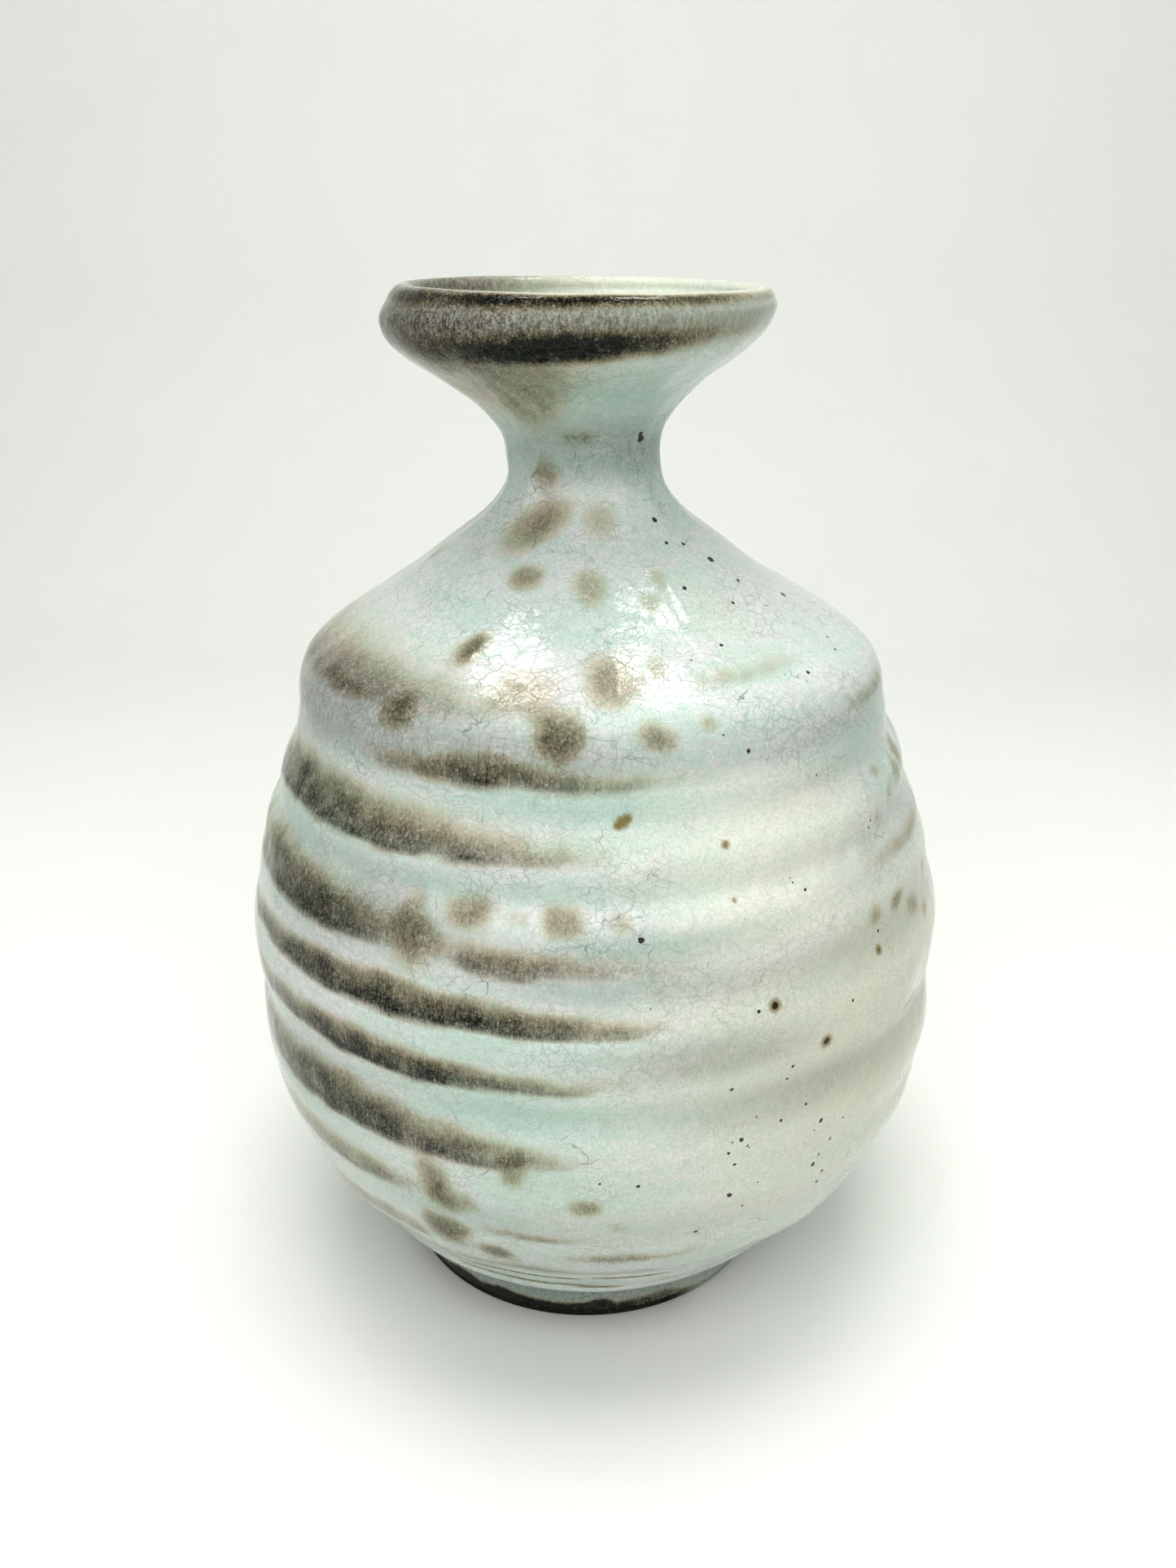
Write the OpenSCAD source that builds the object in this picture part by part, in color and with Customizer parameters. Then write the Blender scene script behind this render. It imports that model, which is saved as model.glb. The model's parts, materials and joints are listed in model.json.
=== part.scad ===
// Ceramic bud vase: a wheel-thrown bottle with a round belly, a sloping shoulder, a narrow neck
// and a small flared cup for a mouth. It stands on a trimmed foot ring.
// Z is up, the origin is the middle of the foot's resting face, and the Z axis is the wheel's axis.

/* [Outside] */
// Height from the table to the top of the lip
vase_h = 165; // [150:1:190]
// Widest diameter of the belly
belly_d = 115; // [105:1:125]
// Narrowest outer diameter of the neck
neck_d = 23.5; // [21:0.5:27]
// Outer diameter of the mouth cup
mouth_d = 58.5; // [52:0.5:64]
// Depth of the throwing rings in the belly
ring_depth = 0.35; // [0:0.05:0.6]
// Distance from one throwing ring to the next
ring_pitch = 10.5; // [9:0.5:13]

/* [Foot] */
// Diameter of the foot where it meets the table
foot_d = 64.5; // [58:0.5:68]
// Height of the foot, up to the crease under the belly
foot_h = 9.5; // [8.5:0.5:11]
// How much wider the foot is at the crease than at the table, on each side
foot_taper = 1.6; // [0:0.2:3]
// Width of the foot ring's wall
foot_ring_w = 6; // [5:0.5:8]
// Depth of the hollow turned inside the foot ring
recess_h = 5; // [4.5:0.1:5.5]
// Height of the bare clay edge below the glaze line
bare_edge_h = 2; // [1:0.5:3]

/* [Walls] */
// Thickness of the clay wall
wall_t = 4; // [3.5:0.1:4.5]
// Thickness of the clay at the lip, glaze left out
lip_t = 2.7; // [2.4:0.1:3]
// Thickness of the glaze outside
glaze_t = 0.5; // [0.3:0.1:0.7]
// Thickness of the glaze inside
liner_t = 0.4; // [0.3:0.1:0.6]
// Diameter of the straight bore in the neck, inside its glaze
throat_d = 14.6; // [13:0.2:15]

/* [Hidden] */
$fn = 96;

belly_r = belly_d / 2;
neck_r = neck_d / 2;
mouth_r = mouth_d / 2;
foot_r = foot_d / 2;
crease_r = foot_r + foot_taper;
recess_r = foot_r - foot_ring_w;
throat_r = throat_d / 2;

// Heights at which one section of the clay ends and the next begins
lower_belly_z = 0.135 * vase_h;
middle_belly_z = 0.265 * vase_h;
upper_belly_z = 0.455 * vase_h;
waist_z = 0.63 * vase_h;
slope_z = 0.69 * vase_h;
neck_low_z = 0.812 * vase_h;
neck_high_z = 0.879 * vase_h;
lip_low_z = 0.97 * vase_h;

// Radius of the foot where the glaze ends, and the worn edge it stands on
bare_r = foot_r + foot_taper * bare_edge_h / foot_h;
foot_chamfer = 0.8;

// The lip is a full round on the glaze, and its middle is half that round below the top
lip_round_r = (lip_t + glaze_t + liner_t) / 2;
lip_z = vase_h - lip_round_r;

// Outline of the glazed outside as [height, radius], from the crease over the foot to the lip
outside = [
    [foot_h, crease_r],
    [0.075 * vase_h, 0.690 * belly_r],
    [0.100 * vase_h, 0.745 * belly_r],
    [0.130 * vase_h, 0.810 * belly_r],
    [0.165 * vase_h, 0.885 * belly_r],
    [0.210 * vase_h, 0.945 * belly_r],
    [0.255 * vase_h, 0.985 * belly_r],
    [0.305 * vase_h, 1.000 * belly_r],
    [0.350 * vase_h, 0.995 * belly_r],
    [0.405 * vase_h, 0.995 * belly_r],
    [0.430 * vase_h, 0.990 * belly_r],
    [0.470 * vase_h, 0.970 * belly_r],
    [0.515 * vase_h, 0.930 * belly_r],
    [0.565 * vase_h, 0.877 * belly_r],
    [0.600 * vase_h, 0.842 * belly_r],
    [0.630 * vase_h, 0.824 * belly_r],
    [0.655 * vase_h, 0.805 * belly_r],
    [0.673 * vase_h, 0.775 * belly_r],
    [0.690 * vase_h, 0.718 * belly_r],
    [0.715 * vase_h, 0.614 * belly_r],
    [0.745 * vase_h, 0.480 * belly_r],
    [0.775 * vase_h, 0.362 * belly_r],
    [0.800 * vase_h, 1.330 * neck_r],
    [0.825 * vase_h, 1.060 * neck_r],
    [0.850 * vase_h, 1.000 * neck_r],
    [0.873 * vase_h, 1.055 * neck_r],
    [0.897 * vase_h, 0.520 * mouth_r],
    [0.921 * vase_h, 0.690 * mouth_r],
    [0.942 * vase_h, 0.860 * mouth_r],
    [0.960 * vase_h, 0.960 * mouth_r],
    [0.979 * vase_h, 1.000 * mouth_r],
    [lip_z, 0.985 * mouth_r]
];
lip_r = outside[len(outside) - 1][1];

// Smooth curve through the points of an outline: the radius at height z
function slope_at(line, i) =
    let (a = max(i - 1, 0), b = min(i + 1, len(line) - 1))
    (line[b][1] - line[a][1]) / (line[b][0] - line[a][0]);
function stretch_of(line, z, i = 0) =
    i < len(line) - 2 && z > line[i + 1][0] ? stretch_of(line, z, i + 1) : i;
function radius_at(line, z) =
    let (i = stretch_of(line, z),
         h = line[i + 1][0] - line[i][0],
         u = (z - line[i][0]) / h)
    (2 * u^3 - 3 * u^2 + 1) * line[i][1]
    + (u^3 - 2 * u^2 + u) * h * slope_at(line, i)
    + (3 * u^2 - 2 * u^3) * line[i + 1][1]
    + (u^3 - u^2) * h * slope_at(line, i + 1);

// The outline moved inwards by a depth, square to the surface
function inset(line, depth) = [
    for (i = [1 : len(line) - 2])
        let (s = slope_at(line, i), n = sqrt(1 + s^2))
        [line[i][0] + depth * s / n, line[i][1] - depth / n]
];
function between(line, low, high) = [for (p = line) if (p[0] > low && p[0] < high) p];

// Outside of the clay, under the glaze
clay_outside = concat(
    [[foot_h, crease_r - glaze_t]],
    inset(outside, glaze_t),
    [[lip_z, lip_r - glaze_t]]
);

// Round corner inside, as [height above the floor, share of the crease's radius]
floor_corner = [[0, 0.58], [1.5, 0.80], [4.5, 0.96]];
// Height above the floor from which the inside follows the outside
corner_h = 9;
// How far above and below the straight bore the inside bends into it
bore_bend = 2;

// An inner surface: a floor with a round corner, the belly, the straight bore, and the cup
function inner_outline(depth, bore_r, floor_z, edge_r) =
    let (line = inset(outside, depth))
    concat(
        [for (p = floor_corner) [floor_z + p[0], p[1] * crease_r]],
        between(line, floor_z + corner_h, neck_low_z - bore_bend),
        [[neck_low_z, bore_r], [neck_high_z, bore_r]],
        between(line, neck_high_z + bore_bend, lip_low_z),
        [[lip_z, edge_r]]
    );
clay_bore_r = throat_r + liner_t;
clay_edge_r = lip_r - glaze_t - lip_t;
liner_edge_r = clay_edge_r - liner_t;
clay_inside = inner_outline(glaze_t + wall_t, clay_bore_r, foot_h, clay_edge_r);
liner_inside = inner_outline(glaze_t + wall_t + liner_t, throat_r, foot_h + liner_t, liner_edge_r);

// Soft rings left by the potter's fingers, fading out below the belly and at the waist
ring_low_z = 0.13 * vase_h;
ring_fade_h = 10;
function throwing_ring(z) =
    let (fade = min(1, max(0, min(z - ring_low_z, waist_z - z) / ring_fade_h)))
    ring_depth * fade * sin(360 * z / ring_pitch);
function in_bore(z) = z >= neck_low_z && z <= neck_high_z;

// Radius of each surface at height z
function glaze_r(z) = radius_at(outside, z) + throwing_ring(z);
function clay_r(z) = radius_at(clay_outside, z) + throwing_ring(z);
function cavity_r(z) = in_bore(z) ? clay_bore_r : radius_at(clay_inside, z);
function liner_r(z) = in_bore(z) ? throat_r : radius_at(liner_inside, z);

// Heights at which every outline has a point, so that neighbours share their faces exactly
level_step = 1.6;
cuts = [foot_h, foot_h + liner_t, lower_belly_z, middle_belly_z, upper_belly_z, waist_z, slope_z,
        neck_low_z, neck_high_z, lip_low_z, lip_z];
levels = concat(
    [for (i = [0 : len(cuts) - 2])
        let (count = ceil((cuts[i + 1] - cuts[i]) / level_step))
        for (k = [0 : count - 1]) cuts[i] + (cuts[i + 1] - cuts[i]) * k / count],
    [lip_z]
);
function levels_in(low, high) = [for (z = levels) if (z > low - 0.001 && z < high + 0.001) z];
function reversed(list) = [for (i = [len(list) - 1 : -1 : 0]) list[i]];

// Arc about the middle of the lip, as points from one angle to another
lip_steps = 8;
lip_mid_r = lip_r - lip_round_r;
clay_lip_mid_r = lip_r - glaze_t - lip_t / 2;
function lip_arc(mid_r, wide, high, from, to) =
    [for (a = [from : (to - from) / lip_steps : to]) [mid_r + wide * cos(a), lip_z + high * sin(a)]];

clay_color = "tan";
glaze_color = "lightgray";
foot_color = "saddlebrown";

// One section of the clay wall, from one height to another
module wall_section(low, high) {
    zs = levels_in(low, high);
    rotate_extrude()
        polygon(concat([for (z = zs) [clay_r(z), z]], [for (z = reversed(zs)) [cavity_r(z), z]]));
}

// Ring that the vase stands on, trimmed from the clay
module foot_ring() {
    color(foot_color)
    rotate_extrude()
        polygon([
            [recess_r, 0],
            [foot_r - foot_chamfer, 0],
            [foot_r, foot_chamfer],
            [bare_r, bare_edge_h],
            [bare_r - glaze_t, bare_edge_h],
            [crease_r - glaze_t, foot_h],
            [recess_r, foot_h]
        ]);
}

// Floor of the vase, inside the foot ring and above its hollow
module base_floor() {
    color(clay_color)
    translate([0, 0, recess_h])
        cylinder(h = foot_h - recess_h, r = recess_r);
}

// Wall that opens out from the foot
module lower_wall() {
    color(clay_color) wall_section(foot_h, lower_belly_z);
}

module lower_belly() {
    color(clay_color) wall_section(lower_belly_z, middle_belly_z);
}

// Widest part of the wall
module middle_belly() {
    color(clay_color) wall_section(middle_belly_z, upper_belly_z);
}

module upper_belly() {
    color(clay_color) wall_section(upper_belly_z, waist_z);
}

// Corner where the wall turns in over the belly
module shoulder_bend() {
    color(clay_color) wall_section(waist_z, slope_z);
}

module shoulder_slope() {
    color(clay_color) wall_section(slope_z, neck_low_z);
}

module neck_tube() {
    color(clay_color) wall_section(neck_low_z, neck_high_z);
}

module mouth_cup() {
    color(clay_color) wall_section(neck_high_z, lip_low_z);
}

// Rounded edge of the cup
module lip() {
    zs = levels_in(lip_low_z, lip_z - 0.01);
    color(clay_color)
    rotate_extrude()
        polygon(concat(
            [for (z = zs) [clay_r(z), z]],
            lip_arc(clay_lip_mid_r, lip_t / 2, lip_t / 2, 0, 180),
            [for (z = reversed(zs)) [cavity_r(z), z]]
        ));
}

// Glaze outside, from the glaze line on the foot to the crest of the lip
module outer_glaze() {
    zs = levels_in(foot_h, lip_z - 0.01);
    color(glaze_color)
    rotate_extrude()
        polygon(concat(
            [[bare_r, bare_edge_h]],
            [for (z = zs) [glaze_r(z), z]],
            lip_arc(lip_mid_r, lip_round_r, lip_round_r, 0, 90),
            reversed(lip_arc(clay_lip_mid_r, lip_t / 2, lip_t / 2, 0, 90)),
            [for (z = reversed(zs)) [clay_r(z), z]],
            [[bare_r - glaze_t, bare_edge_h]]
        ));
}

// Glaze inside, from the crest of the lip down through the neck and over the floor
module inner_glaze() {
    zs = levels_in(foot_h + liner_t, lip_z - 0.01);
    color(glaze_color)
    rotate_extrude()
        polygon(concat(
            [[0, foot_h], [cavity_r(foot_h), foot_h]],
            [for (z = zs) [cavity_r(z), z]],
            reversed(lip_arc(clay_lip_mid_r, lip_t / 2, lip_t / 2, 90, 180)),
            lip_arc(lip_mid_r, lip_round_r, lip_round_r, 90, 180),
            [for (z = reversed(zs)) [liner_r(z), z]],
            [[0, foot_h + liner_t]]
        ));
}

foot_ring();
base_floor();
lower_wall();
lower_belly();
middle_belly();
upper_belly();
shoulder_bend();
shoulder_slope();
neck_tube();
mouth_cup();
lip();
outer_glaze();
inner_glaze();
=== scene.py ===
import json
import math

import bpy
import numpy as np
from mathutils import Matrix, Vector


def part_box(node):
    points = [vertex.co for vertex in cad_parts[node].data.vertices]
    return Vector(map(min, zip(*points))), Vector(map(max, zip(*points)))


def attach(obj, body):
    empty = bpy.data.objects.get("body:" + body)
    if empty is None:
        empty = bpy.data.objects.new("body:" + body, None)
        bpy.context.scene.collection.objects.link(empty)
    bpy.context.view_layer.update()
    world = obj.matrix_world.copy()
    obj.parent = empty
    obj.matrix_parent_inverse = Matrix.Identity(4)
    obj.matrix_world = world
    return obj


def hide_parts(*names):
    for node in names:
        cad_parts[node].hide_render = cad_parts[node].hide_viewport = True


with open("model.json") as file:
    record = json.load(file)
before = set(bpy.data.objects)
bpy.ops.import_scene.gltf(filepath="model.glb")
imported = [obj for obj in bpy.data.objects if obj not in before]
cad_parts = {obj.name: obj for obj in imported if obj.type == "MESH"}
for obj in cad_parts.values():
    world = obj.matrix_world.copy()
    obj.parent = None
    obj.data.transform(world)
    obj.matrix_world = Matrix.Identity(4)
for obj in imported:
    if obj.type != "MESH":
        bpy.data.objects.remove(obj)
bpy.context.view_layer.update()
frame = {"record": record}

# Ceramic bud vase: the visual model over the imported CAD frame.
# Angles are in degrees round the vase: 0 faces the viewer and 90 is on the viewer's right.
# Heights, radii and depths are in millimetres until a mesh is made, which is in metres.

MM = 0.001

# ------------ sizes, from the frame


def top(node, axis=2):
    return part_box(node)[1][axis] / MM


def bottom(node, axis=2):
    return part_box(node)[0][axis] / MM


# Thickness of the glaze outside, the glaze inside, the clay wall, and the whole lip
GLAZE_T = 0.5
LINER_T = 0.4
WALL_T = 4.0
LIP_T = 3.6
# How deep the hidden back of the outer glaze lies, clear of the deepest groove
SKIN = 1.5

VASE_H = top("outer_glaze")
# The CAD's widest ring over the plain belly of the outline below
RING_PROUD = 1.006
BELLY_R = top("outer_glaze", 0) / RING_PROUD
MOUTH_R = top("lip", 0) + GLAZE_T
NECK_R = 11.75
BARE_EDGE = bottom("outer_glaze")
FOOT_H = top("foot_ring")
CREASE_R = top("foot_ring", 0) + GLAZE_T
FOOT_TAPER = 1.6
FOOT_R = CREASE_R - FOOT_TAPER
RECESS_H = bottom("base_floor")
RECESS_R = top("base_floor", 0)
BORE_LOW = bottom("neck_tube")
BORE_HIGH = top("neck_tube")
BORE_R = next(m["dims"]["r_mm"] for m in frame["record"]["mounts"] if m["name"] == "stem_bore")
LIP_ROUND = LIP_T / 2
LIP_Z = VASE_H - LIP_ROUND

# Outline of the glazed outside: (share of the vase's height, share of the part's radius)
BY_BELLY = [
    (0.075, 0.690), (0.100, 0.745), (0.130, 0.810), (0.165, 0.885), (0.210, 0.945), (0.255, 0.985),
    (0.305, 1.000), (0.355, 1.003), (0.405, 1.000), (0.430, 0.993), (0.470, 0.970), (0.515, 0.930),
    (0.565, 0.877), (0.600, 0.840), (0.630, 0.824), (0.655, 0.808), (0.673, 0.780), (0.690, 0.724),
    (0.715, 0.615), (0.745, 0.480), (0.775, 0.365),
]
BY_NECK = [(0.800, 1.330), (0.825, 1.060), (0.850, 1.000), (0.873, 1.050)]
BY_MOUTH = [(0.897, 0.520), (0.921, 0.685), (0.942, 0.855), (0.960, 0.960), (0.979, 1.000)]
OUTLINE = [(FOOT_H, CREASE_R)]
for shares, part_r in ((BY_BELLY, BELLY_R), (BY_NECK, NECK_R), (BY_MOUTH, MOUTH_R)):
    OUTLINE += [(share_h * VASE_H, share_r * part_r) for share_h, share_r in shares]
OUTLINE += [(LIP_Z, 0.985 * MOUTH_R)]
LIP_R = OUTLINE[-1][1]

# Finger rings: (height, how far the surface stands out, half width)
RINGS = [
    (26, 0.15, 2), (31, -0.2, 2), (38, 0.2, 3), (44, -0.15, 2.4), (49.5, 0.3, 3.2), (58, -0.65, 2.6),
    (67.5, 0.4, 3.8), (75.5, -0.3, 2.2), (81, 0.2, 2), (85.5, 0.35, 2.2), (89.5, -0.55, 2),
    (94, 0.45, 2.4), (99.5, -0.42, 2.2), (104, -0.32, 2), (120, -0.12, 2.5), (126, 0.12, 2.5),
    (141.5, 0.15, 1.5), (150, -0.15, 1.6),
]
# The rings climb a little from the left to the right of the front
RING_CLIMB = 1.3

# Thin lines left by the trimming tool just above the foot: (height, first angle, last angle)
TRIM_LINES = [
    (20.2, -34, -3), (20.6, 0, 14), (16.6, -30, -2), (15.8, -3, 6), (10.6, -60, 40), (8.4, -50, 28),
]
TRIM_DEPTH = 0.22
TRIM_HALF_WIDTH = 0.3
# How far a trim line climbs for every degree round the vase
TRIM_CLIMB = 0.012

# Lumps and burst bubbles in the glaze: (angle, height, half width, how far it stands out)
LUMPS = [
    (-24.5, 32.4, 2.4, 0.8), (3, 39.5, 0.9, 0.2), (-11, 40, 1.6, 0.18), (-20, 125.5, 0.8, 0.25),
    (4.5, 115.3, 0.7, 0.22), (-27, 118, 0.8, 0.22), (-25, 119.2, 0.7, 0.18), (22, 124.6, 1.5, 0.22),
    (-3, 38.2, 0.7, 0.15),
]

# How far the vase's axis wanders to the side as it rises: (height, offset)
DRIFT = [(0, -0.4), (9, -0.3), (16, 0.5), (26, 1.1), (65, 1.1), (90, 0.9), (110, 0.5), (120, -0.1),
         (137, -0.5), (145, -1.2), (152, -1.6), (165, -1.5)]
# How far the mouth leans, right side up, in degrees: (height, lean)
LEAN = [(0, 0), (139, 0), (150, 1.2), (157, 1.9), (161, 1.8), (163.2, 0.5), (165, -0.5), (170, -0.5)]
# The lip is rounder and rolls inwards on the left
LIP_ROLL = 1.7
LIP_ROLL_ANGLE = -85
LIP_ROLL_START = 0.973 * VASE_H

# ------------ curves and fields


def curve(points, at):
    """Smooth curve through (position, value) points."""
    x = np.array([p[0] for p in points], float)
    y = np.array([p[1] for p in points], float)
    slope = np.gradient(y, x)
    slope[1:-1] = (y[2:] - y[:-2]) / (x[2:] - x[:-2])
    at = np.clip(at, x[0], x[-1])
    i = np.clip(np.searchsorted(x, at, side="right") - 1, 0, len(x) - 2)
    h = x[i + 1] - x[i]
    u = (at - x[i]) / h
    return (
        (2 * u**3 - 3 * u**2 + 1) * y[i]
        + (u**3 - 2 * u**2 + u) * h * slope[i]
        + (3 * u**2 - 2 * u**3) * y[i + 1]
        + (u**3 - u**2) * h * slope[i + 1]
    )


def inset(points, depth):
    """The outline moved inwards, square to its surface, without its end points."""
    moved = []
    for (z0, r0), (z, r), (z1, r1) in zip(points, points[1:], points[2:]):
        slope = (r1 - r0) / (z1 - z0)
        length = math.hypot(1, slope)
        moved.append((z + depth * slope / length, r - depth / length))
    return moved


def rise(x, low, high):
    """0 below low, 1 above high, smooth between."""
    u = np.clip((x - low) / (high - low), 0, 1)
    return u * u * (3 - 2 * u)


def hump(x, middle, half_width):
    return np.exp(-(((x - middle) / half_width) ** 2))


def turn_from(angle, middle):
    """Signed angle from middle, the short way round."""
    return (angle - middle + 180) % 360 - 180


class Ripples:
    """Repeatable rough field that closes on itself round the vase."""

    def __init__(self, seed, size, count=70, stretch=1.0):
        rng = np.random.default_rng(seed)
        turns_per_mm = rng.uniform(0.5, 1.5, count) / size
        heading = rng.uniform(0, 2 * math.pi, count)
        self.round = np.rint(2 * math.pi * BELLY_R * turns_per_mm * np.cos(heading) / stretch)
        self.up = 2 * math.pi * turns_per_mm * np.sin(heading) * stretch
        self.start = rng.uniform(0, 2 * math.pi, count)

    def at(self, angle, along):
        turn = np.radians(angle)
        total = np.zeros(np.broadcast(angle, along).shape)
        for k, up, start in zip(self.round, self.up, self.start):
            total += np.cos(k * turn + up * along + start)
        return total / math.sqrt(len(self.start) / 2)


# ------------ meshes

# Points round the vase, and how much closer together they are at the front
TURN = 264
FRONT_SHARE = 0.35
even = (np.arange(TURN) + 0.5) * 360 / TURN - 180
ANGLES = even - math.degrees(FRONT_SHARE) * np.sin(np.radians(even))


def spaced(path, spacing):
    """Points along a (radius, height) path. spacing gives the step at each height."""
    path = np.array(path)
    steps = np.hypot(*np.diff(path, axis=0).T)
    along = np.concatenate([[0], np.cumsum(steps)])
    wanted = np.interp(path[:, 1], [s[0] for s in spacing], [s[1] for s in spacing])
    count_to = np.concatenate([[0], np.cumsum(steps / ((wanted[1:] + wanted[:-1]) / 2))])
    rows = max(2, int(round(count_to[-1])) + 1)
    place = np.interp(np.linspace(0, count_to[-1], rows), count_to, along)
    return np.stack([np.interp(place, along, path[:, 0]), np.interp(place, along, path[:, 1])], 1)


def outward(path):
    """Unit normals of a path that climbs with the body on its left."""
    step = np.gradient(path, axis=0)
    normal = np.stack([step[:, 1], -step[:, 0]], 1)
    return normal / np.linalg.norm(normal, axis=1)[:, None]


def placed(radius, height):
    """Points (rows, TURN, 3) for radii and heights, with the drift, the lean and the lip's roll."""
    turn = np.radians(ANGLES)[None, :]
    radius, height = np.broadcast_arrays(radius, height)
    rolled = 0.5 + 0.5 * np.cos(turn - math.radians(LIP_ROLL_ANGLE))
    radius = radius - LIP_ROLL * rolled**1.5 * rise(height, LIP_ROLL_START, VASE_H + 1)
    x = radius * np.sin(turn) + curve(DRIFT, height)
    y = -radius * np.cos(turn)
    z = height + x * np.tan(np.radians(curve(LEAN, height)))
    return np.stack([x, y, z], -1)


def linked(name, data):
    thing = bpy.data.objects.new(name, data)
    bpy.context.scene.collection.objects.link(thing)
    return thing


def ring_mesh(name, rows, closed_loop=False, start_pole=None, end_pole=None):
    """Mesh from rings of TURN points: a closed loop of rings, or one that ends on poles."""
    rows = np.asarray(rows)
    count = len(rows)
    points = rows.reshape(-1, 3)
    index = np.arange(count * TURN).reshape(count, TURN)
    lower = index if closed_loop else index[:-1]
    upper = np.roll(index, -1, axis=0) if closed_loop else index[1:]
    quads = np.stack([lower, np.roll(lower, -1, 1), np.roll(upper, -1, 1), upper], -1).reshape(-1, 4)
    faces = quads.tolist()
    poles = []
    for pole, ring, flip in ((start_pole, index[0], True), (end_pole, index[-1], False)):
        if pole is None:
            continue
        middle = count * TURN + len(poles)
        poles.append(pole)
        for a, b in zip(ring.tolist(), np.roll(ring, -1).tolist()):
            faces.append([b, a, middle] if flip else [a, b, middle])
    if poles:
        points = np.concatenate([points, np.array(poles, float)])
    mesh = bpy.data.meshes.new(name)
    mesh.from_pydata((points * MM).tolist(), [], faces)
    mesh.polygons.foreach_set("use_smooth", [True] * len(mesh.polygons))
    mesh.update()
    return linked(name, mesh)


def write_field(piece, name, values):
    """Stores one number per point for the material to read."""
    data = np.zeros(len(piece.data.vertices))
    flat = np.asarray(values, float).ravel()
    data[: len(flat)] = flat
    layer = piece.data.attributes.new(name, "FLOAT", "POINT")
    layer.data.foreach_set("value", data)


def sharpen(piece, row):
    """Marks the edges along one ring of a ring_mesh as sharp."""
    low, high = row * TURN, (row + 1) * TURN
    for edge in piece.data.edges:
        a, b = edge.vertices
        if low <= a < high and low <= b < high:
            edge.use_edge_sharp = True


# ------------ the outside's shape

uneven = Ripples(3, size=26, count=40, stretch=0.8)
waver = Ripples(5, size=9, count=60, stretch=0.5)

# How much the rings waver up and down, how much their depth changes round the vase, and how
# far the surface swells and sinks between them
RING_WAVER = 0.25
RING_CHANGE = 0.35
SWELL = 0.10
SWELL_IN_CUP = 0.06


def outline_slope(height):
    return curve(OUTLINE, height + 0.5) - curve(OUTLINE, height - 0.5)


def across(middle, level, angle, height, radius):
    """Distances from a point of the wall, round the vase and up along the wall."""
    sideways = radius * np.radians(turn_from(angle, middle))
    up = (height - level) * np.hypot(1, outline_slope(level))
    return sideways, up


def trim_line(line, soft, half_width, angle, height):
    """1 along a trim line."""
    middle, first, last = line
    on_line = rise(angle, first - soft, first + soft) * (1 - rise(angle, last - soft, last + soft))
    return on_line * hump(height, middle + TRIM_CLIMB * angle, half_width)


def relief(angle, height):
    """How far the surface stands out from the plain outline."""
    height_on_ring = height - RING_CLIMB * np.sin(np.radians(angle)) * rise(height, 20, 35)
    height_on_ring = height_on_ring + RING_WAVER * waver.at(angle, height)
    on_body = rise(height, FOOT_H + 2, FOOT_H + 8)
    out = on_body * SWELL * uneven.at(angle, height)
    for middle, depth, half in RINGS:
        change = 1 + RING_CHANGE * np.sin(np.radians(angle) + middle)
        out += depth * change * hump(height_on_ring, middle, half)
    for line in TRIM_LINES:
        out -= TRIM_DEPTH * trim_line(line, 4, TRIM_HALF_WIDTH, angle, height)
    radius = curve(OUTLINE, height)
    for middle, level, half, stands in LUMPS:
        sideways, up = across(middle, level, angle, height, radius)
        out += stands * np.exp(-((sideways / half) ** 2) - (up / half) ** 2)
    return out


def cup_outline(depth, bore_r, lip_r):
    """Inner surface of the mouth cup, at a depth inside the outside."""
    bends = [p for p in inset(OUTLINE, depth) if BORE_HIGH + 1.5 < p[0] < LIP_Z - 3]
    return [(BORE_HIGH, bore_r)] + bends + [(LIP_Z, lip_r)]


def lip_arc(middle_r, round_r, step):
    turn = np.radians(np.arange(0, 181, step))
    return list(zip(middle_r + round_r * np.cos(turn), LIP_Z + round_r * np.sin(turn)))


def outside_path():
    """From the glaze line on the foot, up the outside, over the lip and down the cup to the bore."""
    foot = [(FOOT_R + FOOT_TAPER * z / FOOT_H, z) for z in np.arange(BARE_EDGE, FOOT_H - 0.05, 0.1)]
    heights = np.arange(FOOT_H, LIP_Z, 0.05)
    wall = list(zip(curve(OUTLINE, heights), heights))
    lip = lip_arc(LIP_R - LIP_ROUND, LIP_ROUND, 2)
    down = np.arange(LIP_Z - 0.05, BORE_HIGH, -0.05)
    cup = list(zip(curve(cup_outline(GLAZE_T + WALL_T + LINER_T, BORE_R, LIP_R - LIP_T), down), down))
    return foot + wall + lip + cup


# Distance between rows of points, by height: for the outer glaze's face and for its hidden back
FACE_SPACING = [(0, 0.36), (FOOT_H + 12, 0.40), (FOOT_H + 20, 0.82), (100, 0.88), (132, 0.92),
                (150, 0.8), (158, 0.6), (162, 0.5), (VASE_H, 0.42)]
BACK_SPACING = [(0, 6), (20, 6), (100, 10), (150, 6), (VASE_H, 1.8)]


def crest_of(path):
    return int(np.argmax(path[:, 1]))


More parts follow.
